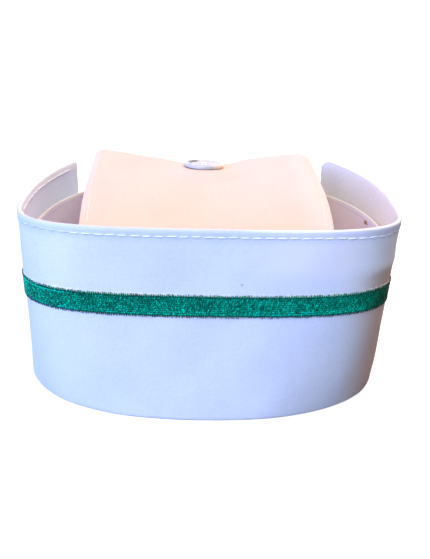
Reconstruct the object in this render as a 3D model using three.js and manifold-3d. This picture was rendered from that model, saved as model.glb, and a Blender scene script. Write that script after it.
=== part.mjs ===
import * as THREE from "three";
import { mergeVertices } from "three/addons/utils/BufferGeometryUtils.js";
import Module from "manifold-3d";

// A nurse cap of starched cloth, in millimetres, +Z up, standing on its open foot.
// While it is built, y runs from 0 at the front of the foot towards the back.

// Gaps between pieces that lie on each other
const clothGap = 0.4;
const tailGap = 0.8;
const seatGap = 0.3;

// The oval foot and the turned-up cuff
const capWidth = 177.4;
const capDepth = 122;
const cuffThickness = 1.8;
const cuffFrontHeight = 85.5;
const cuffRearRise = 17;
const cuffRiseDepth = 93;
const cuffRisePower = 1.6;
const cuffLeftEndDepth = 89.5;
const cuffRightEndDepth = 97.5;
const cuffLeftCorner = 1.2;
const cuffRightCorner = 5;
const cuffLeanBack = 1.2;
const cuffLeanRight = 1.4;
const rearSquareness = 2.2;

// Plan sections of the cuff. Level is a share of the cuff's height, width of capWidth,
// frontDepth and rearDepth of capDepth. Squareness is the exponent of the front's oval.
const sections = [
  { level: 0, width: 1, frontDepth: 0.607, rearDepth: 0.393, squareness: 2.32 },
  { level: 0.5, width: 0.948, frontDepth: 0.361, rearDepth: 0.637, squareness: 2.86 },
  { level: 1, width: 0.97, frontDepth: 0.352, rearDepth: 0.59, squareness: 3.24 },
];

// The closed head band inside the cuff
const bandThickness = 1.6;
const bandFrontHeight = 75;
const bandRearRise = 15.5;
const bandRisePower = 1.35;
const bandTopInset = 2.4;

// The crown panel, a strip that rises from inside the front and folds down at the back
const crownWidth = 112;
const crownThickness = 1.6;
const crownLiftHeight = 62;
const crownPeakHeight = 107.6;
const crownFoldDepth = 88;
const crownRearShift = -1.7;
const crownSeatHeight = 80;
const crownTuck = 28;
const foldDip = 6.8;
const foldLeftPeak = 0.91;
const foldRightPeak = 0.85;
const foldLeftDrop = 2.4;
const foldRightDrop = 3.2;
const dimpleDepth = 2.2;
const dimpleRadius = 13;

// Front slope of the crown panel, from where it leaves the band to its fold.
// Along is a share of the way back, rise a share of the way up.
const frontSlope = [
  { along: 0.055, rise: 0.22 },
  { along: 0.156, rise: 0.465 },
  { along: 0.32, rise: 0.651 },
  { along: 0.568, rise: 0.8 },
  { along: 0.82, rise: 0.912 },
  { along: 0.955, rise: 0.982 },
];

// Rear slope of the crown panel, from its fold to where it meets the band.
const rearSlope = [
  { along: 0.1, rise: 0.94 },
  { along: 0.3, rise: 0.76 },
  { along: 0.62, rise: 0.42 },
  { along: 0.88, rise: 0.14 },
];

// The green stripe round the cuff
const stripeWidth = 9.8;
const stripeThickness = 1;
const stripeCentreLevel = 0.62;
const stripeEndSetback = 1;

// The sewn button on the fold
const buttonDiameter = 20.4;
const buttonThickness = 3.3;
const buttonRimWidth = 1.3;
const buttonDish = 0.9;
const dishWallShare = 0.8;
const buttonBelly = 1.2;
const buttonHoleCount = 4;
const buttonHoleDiameter = 1.9;
const buttonHoleSpacing = 3.6;
const buttonBeforeFold = 9;
const buttonSideTilt = 2;
const buttonRearTilt = 3;
const threadDiameter = 3.4;

// The button's rounded underside rises by buttonBelly times a power of the share of its radius
const undersidePower = 2.5;
const undersideReaches = [0, 0.5, 0.85, 1];

// Facet counts and fineness of the working curves
const cuffColumns = 76;
const cornerSteps = 4;
const cuffRows = 9;
const bandColumns = 92;
const bandRows = 9;
const crownColumns = 22;
const crownStepsPerKey = 2;
const buttonSides = 36;
const threadSides = 12;
const holeSides = 10;
const arcDivisions = 600;
const normalStep = 0.002;
const halvings = 40;
const seatRings = 6;
const seatSides = 24;

const lerp = THREE.MathUtils.lerp;

// Smooth value of one column of the section table at a level
function sectionValue(column, level) {
  const [foot, waist, rim] = sections;
  const footWeight = (level - waist.level) * (level - rim.level)
    / ((foot.level - waist.level) * (foot.level - rim.level));
  const waistWeight = (level - foot.level) * (level - rim.level)
    / ((waist.level - foot.level) * (waist.level - rim.level));
  const rimWeight = (level - foot.level) * (level - waist.level)
    / ((rim.level - foot.level) * (rim.level - waist.level));
  return foot[column] * footWeight + waist[column] * waistWeight + rim[column] * rimWeight;
}

function signedPower(value, power) {
  return Math.sign(value) * Math.abs(value) ** power;
}

// Outer plan point of the cuff. Angle 0 is the front, positive to the right, half a turn the back.
function planPoint(angle, level) {
  const ahead = Math.cos(angle);
  const aside = Math.sin(angle);
  const power = 2 / (ahead > 0 ? sectionValue("squareness", level) : rearSquareness);
  const frontDepth = capDepth * sectionValue("frontDepth", level);
  const rearDepth = capDepth * sectionValue("rearDepth", level);
  const reach = ahead > 0 ? frontDepth : rearDepth;
  const x = (capWidth / 2) * sectionValue("width", level) * signedPower(aside, power);
  const y = frontDepth - reach * signedPower(ahead, power);
  return new THREE.Vector2(x + cuffLeanRight * level, y + cuffLeanBack * level);
}

function planNormal(angle, level) {
  const before = planPoint(angle - normalStep, level);
  const along = planPoint(angle + normalStep, level).sub(before).normalize();
  return new THREE.Vector2(along.y, -along.x);
}

// Height that the cuff's top edge has, or would have, at an angle
function rimHeight(angle) {
  const depth = Math.max(planPoint(angle, 1).y, 0);
  return cuffFrontHeight + cuffRearRise * (depth / cuffRiseDepth) ** cuffRisePower;
}

// Point at an angle and height, set in from the cuff's outer face
function wallPoint(angle, height, inset) {
  const level = height / rimHeight(angle);
  const plan = planPoint(angle, level);
  const normal = planNormal(angle, level);
  return new THREE.Vector3(plan.x - normal.x * inset, plan.y - normal.y * inset, height);
}

// Angle at which the cuff's outer face reaches a depth behind its widest place
function angleAtDepth(depth, level) {
  const frontDepth = capDepth * sectionValue("frontDepth", level) + cuffLeanBack * level;
  const rearDepth = capDepth * sectionValue("rearDepth", level);
  const share = (depth - frontDepth) / rearDepth;
  return Math.acos(-signedPower(share, rearSquareness / 2));
}

// The outer plan line between two angles at a level
class PlanLine extends THREE.Curve {
  constructor(level, fromAngle, toAngle) {
    super();
    this.arcLengthDivisions = arcDivisions;
    this.level = level;
    this.fromAngle = fromAngle;
    this.toAngle = toAngle;
  }

  getPoint(share) {
    const plan = planPoint(lerp(this.fromAngle, this.toAngle, share), this.level);
    return new THREE.Vector3(plan.x, plan.y, 0);
  }

  angleAtLength(lengthShare) {
    return lerp(this.fromAngle, this.toAngle, this.getUtoTmapping(lengthShare));
  }
}

function cuffLine(level, setback) {
  const left = -angleAtDepth(cuffLeftEndDepth - setback, level);
  const right = angleAtDepth(cuffRightEndDepth - setback, level);
  return new PlanLine(level, left, right);
}

// A closed solid between two grids of points, rows upwards and columns left to right
function shell(outer, inner, isRing) {
  const rows = outer.length;
  const columns = outer[0].length;
  const at = (side, row, column) => (side * rows + row) * columns + (column % columns);
  const index = [];
  const quad = (a, b, c, d) => index.push(a, b, c, a, c, d);
  const end = isRing ? columns : columns - 1;
  for (let row = 0; row < rows - 1; row++) {
    for (let column = 0; column < end; column++) {
      quad(at(0, row, column), at(0, row, column + 1), at(0, row + 1, column + 1), at(0, row + 1, column));
      quad(at(1, row, column), at(1, row + 1, column), at(1, row + 1, column + 1), at(1, row, column + 1));
    }
    if (!isRing) {
      quad(at(0, row, 0), at(0, row + 1, 0), at(1, row + 1, 0), at(1, row, 0));
      quad(at(0, row, end), at(1, row, end), at(1, row + 1, end), at(0, row + 1, end));
    }
  }
  const top = rows - 1;
  for (let column = 0; column < end; column++) {
    quad(at(0, 0, column), at(1, 0, column), at(1, 0, column + 1), at(0, 0, column + 1));
    quad(at(0, top, column), at(0, top, column + 1), at(1, top, column + 1), at(1, top, column));
  }
  const geometry = new THREE.BufferGeometry();
  geometry.setFromPoints([...outer.flat(), ...inner.flat()]);
  geometry.setIndex(index);
  return geometry;
}

// Columns of the cuff's edge, as shares of its length, with the drop of its rounded top corners
function cornerColumns(radius, length) {
  const columns = [];
  for (let step = 0; step < cornerSteps; step++) {
    const turn = (step / cornerSteps) * (Math.PI / 2);
    columns.push({ share: (radius * (1 - Math.cos(turn))) / length, drop: radius * (1 - Math.sin(turn)) });
  }
  return columns;
}

function cuffEdgeColumns() {
  const length = cuffLine(1, 0).getLength();
  const left = cornerColumns(cuffLeftCorner, length);
  const right = cornerColumns(cuffRightCorner, length).reverse();
  const middle = [];
  for (let column = 0; column <= cuffColumns; column++) {
    const distance = lerp(cuffLeftCorner, length - cuffRightCorner, column / cuffColumns);
    middle.push({ share: distance / length, drop: 0 });
  }
  return [...left, ...middle, ...right.map((c) => ({ share: 1 - c.share, drop: c.drop }))];
}

function cuffGeometry() {
  const columns = cuffEdgeColumns();
  const outer = [];
  const inner = [];
  for (let row = 0; row < cuffRows; row++) {
    const level = row / (cuffRows - 1);
    const line = cuffLine(level, 0);
    const outerRow = [];
    const innerRow = [];
    for (const { share, drop } of columns) {
      const angle = line.angleAtLength(share);
      const height = level * (rimHeight(angle) - drop);
      outerRow.push(wallPoint(angle, height, 0));
      innerRow.push(wallPoint(angle, height, cuffThickness));
    }
    outer.push(outerRow);
    inner.push(innerRow);
  }
  return shell(outer, inner, false);
}

// Top edge of the head band
function bandHeight(angle) {
  const rearDepth = planPoint(Math.PI, 1).y;
  const depth = Math.max(planPoint(angle, 1).y, 0);
  return bandFrontHeight + bandRearRise * (depth / rearDepth) ** bandRisePower;
}

// Inset of the band's outer face from the cuff's outer face at a height
function bandInset(height) {
  return cuffThickness + clothGap + bandTopInset * (height / bandFrontHeight);
}

function headBandGeometry() {
  const outer = [];
  const inner = [];
  for (let row = 0; row < bandRows; row++) {
    const share = row / (bandRows - 1);
    const line = new PlanLine(share * (bandFrontHeight / cuffFrontHeight), -Math.PI, Math.PI);
    const outerRow = [];
    const innerRow = [];
    for (let column = 0; column < bandColumns; column++) {
      const angle = line.angleAtLength(column / bandColumns);
      const height = share * bandHeight(angle);
      outerRow.push(wallPoint(angle, height, bandInset(height)));
      innerRow.push(wallPoint(angle, height, bandInset(height) + bandThickness));
    }
    outer.push(outerRow);
    inner.push(innerRow);
  }
  return shell(outer, inner, true);
}

// Depth of the face that lies just inside the band, at a side distance and height
function depthInsideBand(x, height, atRear) {
  const inset = bandInset(height) + bandThickness + tailGap;
  let near = atRear ? Math.PI : -Math.PI / 2;
  let far = Math.PI / 2;
  const side = atRear ? Math.sign(x) || 1 : 1;
  for (let halving = 0; halving < halvings; halving++) {
    const middle = (near + far) / 2;
    if (wallPoint(middle * side, height, inset).x * side < x * side) {
      near = middle;
    } else {
      far = middle;
    }
  }
  return wallPoint(near * side, height, inset).y;
}

// Height of the fold across the panel: a shallow V with rounded, dropped corners
function foldHeight(across) {
  const peak = across < 0 ? foldLeftPeak : foldRightPeak;
  const drop = across < 0 ? foldLeftDrop : foldRightDrop;
  const distance = Math.abs(across);
  if (distance < peak) {
    return crownPeakHeight - foldDip * (1 - distance / peak);
  }
  return crownPeakHeight - drop * ((distance - peak) / (1 - peak)) ** 2;
}

// How far the button's thread draws the cloth down
function dimple(x, y) {
  const dx = x - crownRearShift;
  const dy = y - (crownFoldDepth - buttonBeforeFold);
  return dimpleDepth * Math.exp(-(dx * dx + dy * dy) / (dimpleRadius * dimpleRadius));
}

// Outer line of the crown panel from its front tail to its rear tail
function crownLine(across) {
  const flatX = (across * crownWidth) / 2;
  const foldX = flatX + crownRearShift;
  const top = foldHeight(across);
  const frontDepth = depthInsideBand(flatX, crownLiftHeight, false);
  const rearDepth = depthInsideBand(foldX, crownSeatHeight, true);
  const keys = [];
  for (const height of [crownLiftHeight - crownTuck, crownLiftHeight - crownTuck / 2, crownLiftHeight]) {
    keys.push(new THREE.Vector3(flatX, depthInsideBand(flatX, height, false), height));
  }
  for (const { along, rise } of frontSlope) {
    const y = lerp(frontDepth, crownFoldDepth, along);
    keys.push(new THREE.Vector3(lerp(flatX, foldX, along), y, lerp(crownLiftHeight, top, rise)));
  }
  keys.push(new THREE.Vector3(foldX, crownFoldDepth, top));
  for (const { along, rise } of rearSlope) {
    const y = lerp(crownFoldDepth, rearDepth, along);
    keys.push(new THREE.Vector3(foldX, y, lerp(crownSeatHeight, top, rise)));
  }
  for (const height of [crownSeatHeight, crownSeatHeight - crownTuck / 2, crownSeatHeight - crownTuck]) {
    keys.push(new THREE.Vector3(foldX, depthInsideBand(foldX, height, true), height));
  }
  return new THREE.CatmullRomCurve3(keys, false, "centripetal");
}

// Unit normals of a grid of points, from the points beside each
function gridNormals(grid) {
  const rows = grid.length;
  const columns = grid[0].length;
  return grid.map((row, r) => row.map((point, c) => {
    const across = row[Math.min(c + 1, columns - 1)].clone().sub(row[Math.max(c - 1, 0)]);
    const along = grid[Math.min(r + 1, rows - 1)][c].clone().sub(grid[Math.max(r - 1, 0)][c]);
    return across.cross(along).normalize();
  }));
}

function crownGeometry() {
  const lines = [];
  for (let column = 0; column <= crownColumns; column++) {
    lines.push(crownLine((2 * column) / crownColumns - 1));
  }
  const rows = (lines[0].points.length - 1) * crownStepsPerKey;
  const outer = [];
  for (let row = 0; row <= rows; row++) {
    outer.push(lines.map((line) => {
      const point = line.getPoint(row / rows);
      point.z -= dimple(point.x, point.y);
      return point;
    }));
  }
  const normals = gridNormals(outer);
  const inner = outer.map((row, r) => row.map((point, c) => (
    point.clone().addScaledVector(normals[r][c], -crownThickness)
  )));
  return shell(outer, inner, false);
}

function stripeGeometry() {
  const half = stripeWidth / cuffFrontHeight / 2;
  const levels = [stripeCentreLevel - half, stripeCentreLevel, stripeCentreLevel + half];
  const outer = [];
  const inner = [];
  for (const level of levels) {
    const line = cuffLine(level, stripeEndSetback);
    const outerRow = [];
    const innerRow = [];
    for (let column = 0; column <= cuffColumns; column++) {
      const angle = line.angleAtLength(column / cuffColumns);
      const height = level * rimHeight(angle);
      outerRow.push(wallPoint(angle, height, -clothGap - stripeThickness));
      innerRow.push(wallPoint(angle, height, -clothGap));
    }
    outer.push(outerRow);
    inner.push(innerRow);
  }
  return shell(outer, inner, false);
}

const wasm = await Module();
wasm.setup();

function toSolid(geometry) {
  const bare = geometry.clone();
  bare.deleteAttribute("normal");
  bare.deleteAttribute("uv");
  const merged = mergeVertices(bare, 1e-4);
  const vertProperties = new Float32Array(merged.attributes.position.array);
  const triVerts = new Uint32Array(merged.index.array);
  return new wasm.Manifold(new wasm.Mesh({ numProp: 3, vertProperties, triVerts }));
}

function toGeometry(solid) {
  const mesh = solid.getMesh();
  const geometry = new THREE.BufferGeometry();
  geometry.setAttribute("position", new THREE.BufferAttribute(mesh.vertProperties, 3));
  geometry.setIndex(new THREE.BufferAttribute(mesh.triVerts, 1));
  return geometry;
}

// Dished round button with a raised rim and four thread holes, its underside at z = 0
function buttonGeometry() {
  const radius = buttonDiameter / 2;
  const profile = [
    ...undersideReaches.map((reach) => (
      new THREE.Vector2(radius * reach, buttonBelly * reach ** undersidePower)
    )),
    new THREE.Vector2(radius, buttonThickness - buttonRimWidth / 2),
    new THREE.Vector2(radius - buttonRimWidth / 2, buttonThickness),
    new THREE.Vector2(radius - buttonRimWidth, buttonThickness),
    new THREE.Vector2(radius - buttonRimWidth * 2, buttonThickness - buttonDish * dishWallShare),
    new THREE.Vector2(0, buttonThickness - buttonDish),
  ];
  const disc = new THREE.LatheGeometry(profile, buttonSides);
  disc.rotateX(Math.PI / 2);
  let solid = toSolid(disc);
  const reach = buttonHoleSpacing * Math.SQRT1_2;
  for (let hole = 0; hole < buttonHoleCount; hole++) {
    const turn = ((hole + 0.5) / buttonHoleCount) * 2 * Math.PI;
    const drill = new THREE.CylinderGeometry(
      buttonHoleDiameter / 2, buttonHoleDiameter / 2, buttonThickness * 2, holeSides,
    );
    drill.rotateX(Math.PI / 2);
    drill.translate(reach * Math.cos(turn), reach * Math.sin(turn), buttonThickness / 2);
    solid = solid.subtract(toSolid(drill));
  }
  return toGeometry(solid);
}

function namedMesh(name, geometry, colour, roughness) {
  const material = new THREE.MeshStandardMaterial({ color: colour, roughness, metalness: 0 });
  const mesh = new THREE.Mesh(geometry, material);
  mesh.name = name;
  return mesh;
}

// Height of the crown panel's upper face at a place
function clothHeight(crown, x, y) {
  const above = new THREE.Vector3(x, y, crownPeakHeight + crownWidth);
  const down = new THREE.Raycaster(above, new THREE.Vector3(0, 0, -1));
  return down.intersectObject(crown)[0].point.z;
}

// Height at which a round piece lies a seat gap clear of the cloth everywhere below it.
// Its underside is rounded by belly, and turns with the piece.
function seatedHeight(crown, piece, radius, belly) {
  let height = 0;
  for (let ring = 0; ring <= seatRings; ring++) {
    for (let side = 0; side < seatSides; side++) {
      const reach = ring / seatRings;
      const turn = (side / seatSides) * 2 * Math.PI;
      const under = new THREE.Vector3(Math.cos(turn), Math.sin(turn), 0).multiplyScalar(radius * reach);
      under.z = belly * reach ** undersidePower;
      under.applyQuaternion(piece.quaternion);
      const cloth = clothHeight(crown, piece.position.x + under.x, piece.position.y + under.y);
      height = Math.max(height, cloth - under.z);
    }
  }
  return height + seatGap;
}

// The button, and the wound thread that holds it clear of the cloth
function sewnButton(crown) {
  const buttonDepth = crownFoldDepth - buttonBeforeFold;
  const button = namedMesh("button", buttonGeometry(), 0xdacfd8, 0.2);
  button.rotation.set(
    THREE.MathUtils.degToRad(buttonRearTilt),
    THREE.MathUtils.degToRad(buttonSideTilt),
    0,
  );
  button.position.set(crownRearShift, buttonDepth, 0);
  button.position.z = seatedHeight(crown, button, buttonDiameter / 2, buttonBelly);

  const thread = namedMesh("button_thread", new THREE.BufferGeometry(), 0xefe6e2, 0.9);
  thread.position.set(crownRearShift, buttonDepth, 0);
  thread.position.z = seatedHeight(crown, thread, threadDiameter / 2, 0);
  const threadLength = button.position.z - seatGap - thread.position.z;
  const threadRadius = threadDiameter / 2;
  thread.geometry = new THREE.CylinderGeometry(threadRadius, threadRadius, threadLength, threadSides);
  thread.geometry.rotateX(Math.PI / 2);
  thread.geometry.translate(0, 0, threadLength / 2);
  return [button, thread];
}

const cap = new THREE.Group();
cap.add(namedMesh("cuff", cuffGeometry(), 0xd8eaff, 0.75));
cap.add(namedMesh("head_band", headBandGeometry(), 0xc9c0cc, 0.8));
const crownPanel = namedMesh("crown_panel", crownGeometry(), 0xfdebe1, 0.8);
cap.add(crownPanel);
cap.add(namedMesh("stripe", stripeGeometry(), 0x048273, 0.7));
cap.add(...sewnButton(crownPanel));

// The origin is below the middle of the cap, on the surface that it stands on
cap.updateMatrixWorld(true);
const bounds = new THREE.Box3().setFromObject(cap, true);
cap.position.set(-(bounds.min.x + bounds.max.x) / 2, -(bounds.min.y + bounds.max.y) / 2, 0);

export default cap;
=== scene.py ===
import math

import bmesh
import bpy
import numpy as np
from mathutils import Matrix, Vector


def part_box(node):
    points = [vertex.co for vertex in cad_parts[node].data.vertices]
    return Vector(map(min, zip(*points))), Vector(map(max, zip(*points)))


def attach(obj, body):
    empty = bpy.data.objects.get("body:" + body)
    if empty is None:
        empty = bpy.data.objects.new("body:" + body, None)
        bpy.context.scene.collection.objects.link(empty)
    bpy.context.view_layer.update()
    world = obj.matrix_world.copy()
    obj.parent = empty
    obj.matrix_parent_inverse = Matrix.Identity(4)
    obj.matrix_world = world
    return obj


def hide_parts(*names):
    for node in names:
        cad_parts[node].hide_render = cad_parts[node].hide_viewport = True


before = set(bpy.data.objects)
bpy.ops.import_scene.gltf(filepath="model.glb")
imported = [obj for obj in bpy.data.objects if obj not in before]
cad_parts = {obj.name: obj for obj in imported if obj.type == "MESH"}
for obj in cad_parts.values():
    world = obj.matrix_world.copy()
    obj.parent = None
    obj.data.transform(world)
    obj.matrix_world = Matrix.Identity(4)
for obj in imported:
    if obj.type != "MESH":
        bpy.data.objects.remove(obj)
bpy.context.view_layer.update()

# The plan of the cap is worked out in millimetres with y = 0 at the front of the foot.
# ORIGIN takes it into the frame.
MM = 0.001
cuff_low, cuff_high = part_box("cuff")
ORIGIN = np.array([(cuff_low.x + cuff_high.x) / 2, cuff_low.y, 0.0])

# The oval foot and the turned-up cuff
CAP_WIDTH = (cuff_high.x - cuff_low.x) / MM
CAP_DEPTH = 122
CUFF_THICKNESS = 1.8
CUFF_FRONT_HEIGHT = 85.5
CUFF_REAR_RISE = 17
CUFF_RISE_DEPTH = 93
CUFF_RISE_POWER = 1.6
CUFF_LEFT_END_DEPTH = 89.5
CUFF_RIGHT_END_DEPTH = 97.5
CUFF_LEFT_CORNER = 1.2
CUFF_RIGHT_CORNER = 5
CUFF_LEAN_BACK = 1.2
CUFF_LEAN_RIGHT = 1.4
REAR_SQUARENESS = 2.2

# Plan sections by level, a share of the cuff's height. Width is a share of CAP_WIDTH, the depths
# of CAP_DEPTH, and squareness is the exponent of the front's oval.
LEVELS = {"foot": 0, "waist": 0.5, "rim": 1}
SECTIONS = {
    "width": {"foot": 1, "waist": 0.948, "rim": 0.97},
    "front_depth": {"foot": 0.607, "waist": 0.361, "rim": 0.352},
    "rear_depth": {"foot": 0.393, "waist": 0.637, "rim": 0.59},
    "squareness": {"foot": 2.32, "waist": 2.86, "rim": 3.24},
}

# The head band inside the cuff
BAND_THICKNESS = 1.6
BAND_FRONT_HEIGHT = 75
BAND_REAR_RISE = 15.5
BAND_RISE_POWER = 1.35
BAND_TOP_INSET = 2.4
CLOTH_GAP = 0.4
TAIL_GAP = 0.8

# The crown panel
CROWN_WIDTH = 112
CROWN_THICKNESS = 1.6
CROWN_LIFT_HEIGHT = 62
CROWN_PEAK_HEIGHT = 107.6
CROWN_FOLD_DEPTH = 88
CROWN_REAR_SHIFT = -1.7
CROWN_SEAT_HEIGHT = 80
CROWN_TUCK = 28
FOLD_DIP = 6.8
FOLD_LEFT_PEAK = 0.91
FOLD_RIGHT_PEAK = 0.85
FOLD_LEFT_DROP = 2.4
FOLD_RIGHT_DROP = 3.2
SEAT_CLEARANCE = 0.12
SEAT_SLOPE_END = 24
FRONT_SLOPE = [(0.055, 0.22), (0.156, 0.465), (0.32, 0.651), (0.568, 0.8), (0.82, 0.912), (0.955, 0.982)]
REAR_SLOPE = [(0.1, 0.94), (0.3, 0.76), (0.62, 0.42), (0.88, 0.14)]

# Stitching
TOPSTITCH_BELOW_RIM = 3.3
TOPSTITCH_PITCH = 5.0
TOPSTITCH_LENGTH = 4.15
TOPSTITCH_RADIUS = 0.26
TOPSTITCH_END = 2.6
INNER_STITCH_SHARE = 1.12
INNER_STITCH_SHADE = 0.7
# Distances along the cuff where the painted shade on the stitches at its left end is full and where it is
# gone
TOPSTITCH_LEFT_SHADE_SPAN = (92, 114)
TOPSTITCH_SAG_PLACES = (205, 238, 262)
TOPSTITCH_SAG = (0, 1.1, 0)
SIDE_STITCH_INSET = 3.9
SIDE_STITCH_PITCH = 3.3
SIDE_STITCH_LENGTH = 2.8
SIDE_STITCH_RADIUS = 0.17
# Heights over the seat where the side stitches change from green to the crown's peach, painted light that
# washes them out higher up
SIDE_STITCH_GREEN_END = (6, 16)
HEM_LIFT = 0.22
HEM_PAST_STITCHES = 0.7
CUFF_PUCKER = 0.16
CROWN_PUCKER = 0.12

# The stripe
STRIPE_WIDTH = 9.8
STRIPE_CENTRE_LEVEL = 0.62
STRIPE_GAP = 0.03
STRIPE_THICKNESS = 0.22
STRIPE_TEETH = 0.75
STRIPE_END_SETBACK = 1
FIELD_ROWS = 8
FIELD_PITCH = 0.4
FIELD_LOW = -STRIPE_WIDTH / 2 + 0.85
FIELD_HIGH = STRIPE_WIDTH / 2 - 1.35
FIELD_END = 0.8
FIELD_LEAN = 0.22
FIELD_THREAD_RADIUS = 0.2
BRIGHT_ROW_END = 95
EDGE_END = 0.5
EDGE_THREAD_RADIUS = 0.21
TOOTH_PITCH = 0.85
CORD_STEP = 3
THREAD_MARGIN = 0.3

# The upper and the lower edge of the stripe, by heights above its centre line
STRIPE_EDGES = {
    1: {"cord": STRIPE_WIDTH / 2 - 1.2, "root": STRIPE_WIDTH / 2 - 1.15, "tip": STRIPE_WIDTH / 2},
    -1: {"cord": 0.75 - STRIPE_WIDTH / 2, "root": 0.9 - STRIPE_WIDTH / 2, "tip": -0.2 - STRIPE_WIDTH / 2},
}

# The button
BUTTON_DIAMETER = 20.4
BUTTON_THICKNESS = 3.3
BUTTON_SIDE_TILT = 2
BUTTON_REAR_TILT = 3
BUTTON_HOLE_SPACING = 3.6
BUTTON_HOLE_RADIUS = 0.95
BUTTON_HOLLOW_RADIUS = 8.3
BUTTON_FLOOR_RADIUS = 6.5
BUTTON_STRAND_PITCH = 0.27
BUTTON_THREAD_RADIUS = 0.2
SHANK_TURNS = 5
BUTTON_PROFILE = [
    (0, 0), (3.0, 0.06), (5.6, 0.26), (7.8, 0.66), (9.2, 1.02), (9.9, 1.38), (10.2, 1.9), (10.2, 2.3),
    (10.02, 2.78), (9.7, 3.1), (9.3, 3.27), (8.9, 3.3), (8.5, 3.22), (8.1, 3.0), (7.6, 2.7), (7.0, 2.5),
    (6.0, 2.42), (3.0, 2.4), (0, 2.4),
]

# How finely edges are rounded, and how close points are joined
EDGE_STEPS = 4
WELD_DISTANCE = 0.002


def section_value(name, level):
    """Quadratic through the three sections."""
    total = 0
    for here, at in LEVELS.items():
        weight = 1
        for other, place in LEVELS.items():
            if other != here:
                weight = weight * (level - place) / (at - place)
        total = total + SECTIONS[name][here] * weight
    return total


def signed_power(value, power):
    return np.sign(value) * np.abs(value) ** power


def plan_point(angle, level):
    """Outer plan point of the cuff. Angle 0 is the front, positive to the right."""
    ahead = np.cos(angle)
    aside = np.sin(angle)
    power = 2 / np.where(ahead > 0, section_value("squareness", level), REAR_SQUARENESS)
    front_depth = CAP_DEPTH * section_value("front_depth", level)
    rear_depth = CAP_DEPTH * section_value("rear_depth", level)
    reach = np.where(ahead > 0, front_depth, rear_depth)
    x = CAP_WIDTH / 2 * section_value("width", level) * signed_power(aside, power)
    y = front_depth - reach * signed_power(ahead, power)
    return x + CUFF_LEAN_RIGHT * level, y + CUFF_LEAN_BACK * level


def plan_normal(angle, level, step=0.002):
    x0, y0 = plan_point(angle - step, level)
    x1, y1 = plan_point(angle + step, level)
    length = np.hypot(x1 - x0, y1 - y0)
    return (y1 - y0) / length, -(x1 - x0) / length


def rim_height(angle):
    depth = np.maximum(plan_point(angle, 1)[1], 0)
    return CUFF_FRONT_HEIGHT + CUFF_REAR_RISE * (depth / CUFF_RISE_DEPTH) ** CUFF_RISE_POWER


def wall_point(angle, height, inset):
    """Points at an angle and height, set in from the cuff's outer face, and their normals."""
    level = height / rim_height(angle)
    x, y = plan_point(angle, level)
    nx, ny = plan_normal(angle, level)
    points = np.stack([x - nx * inset, y - ny * inset, height + 0 * x], -1)
    normals = np.stack([nx, ny, 0 * nx], -1)
    return points, normals


def angle_at_depth(depth, level):
    front_depth = CAP_DEPTH * section_value("front_depth", level) + CUFF_LEAN_BACK * level
    share = (depth - front_depth) / (CAP_DEPTH * section_value("rear_depth", level))
    return math.acos(-signed_power(share, REAR_SQUARENESS / 2))


def angles_along(level, first, last, shares, samples=600):
    """Angles at shares of the arc length of the plan line between two angles."""
    angles = np.linspace(first, last, samples)
    x, y = plan_point(angles, level)
    along = np.concatenate([[0], np.cumsum(np.hypot(np.diff(x), np.diff(y)))])
    return np.interp(np.asarray(shares) * along[-1], along, angles), along[-1]


def cuff_angles(level, shares, setback=0):
    first = -angle_at_depth(CUFF_LEFT_END_DEPTH - setback, level)
    last = angle_at_depth(CUFF_RIGHT_END_DEPTH - setback, level)
    return angles_along(level, first, last, shares)


def cuff_rows(levels, shares, setback=0):
    """Angles at shares of the cuff's length, a row for each level."""
    return np.array([cuff_angles(level, shares, setback)[0] for level in levels])


CUFF_LENGTH = cuff_angles(1, [0])[1]


def spaced(length, radius, count):
    """Distances along a length: close together in its rounded ends and even between."""
    edge = radius * (1 - np.cos(np.arange(EDGE_STEPS) / EDGE_STEPS * math.pi / 2))
    return np.concatenate([edge, np.linspace(radius, length - radius, count), length - edge[::-1]])


def stretched(up, height, radius, top):
    """Heights from 0 to the tops of the columns, with the rounded edges at their own size."""
    up = up[:, None]
    middle = radius + (up - radius) / (height - 2 * radius) * (top - 2 * radius)
    return np.where(up < radius, up, np.where(up > height - radius, top - height + up, middle))


def cover(distance, radius):
    """Share of the full thickness at a distance from a rounded edge."""
    inside = np.clip(1 - distance / radius, 0, 1)
    return np.sqrt(1 - inside * inside)


def below_edge(distance, edge, softness):
    """Share that falls softly from 1 to 0 as a distance passes an edge."""
    return 1 / (1 + np.exp((distance - edge) / softness))


def groove(distance, width):
    """Share that is 1 at a distance of 0 and falls away to both sides."""
    return np.exp(-(distance / width) ** 2)


def waves(seed, sizes, count=24):
    """A smooth field of two coordinates in mm, between about -1 and 1."""
    rng = np.random.default_rng(seed)
    turn = rng.uniform(0, 2 * math.pi, count)
    size = np.exp(rng.uniform(math.log(sizes[0]), math.log(sizes[1]), count))
    phase = rng.uniform(0, 2 * math.pi, count)

    def field(u, v):
        total = 0
        for a, s, p in zip(turn, size, phase):
            total = total + np.sin((u * math.cos(a) + v * math.sin(a)) * 2 * math.pi / s + p)
        return total / math.sqrt(count)
    return field


def show(name, mesh):
    """Shades a mesh smooth and puts it in the scene."""
    mesh.polygons.foreach_set("use_smooth", np.full(len(mesh.polygons), True))
    piece = bpy.data.objects.new(name, mesh)
    bpy.context.scene.collection.objects.link(piece)
    return piece


def show_plan(name, vertices, faces):
    """A piece from points in plan millimetres, moved into the frame."""
    mesh = bpy.data.meshes.new(name)
    mesh.from_pydata((vertices * MM + ORIGIN).tolist(), [], faces)
    piece = show(name, mesh)
    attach(piece, "root")
    return piece


def mark(piece, name, kind, domain, values):
    """Keeps values by name for the material to read."""
    layer = piece.data.attributes.new(name, kind, domain)
    layer.data.foreach_set("value", values)


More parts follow.
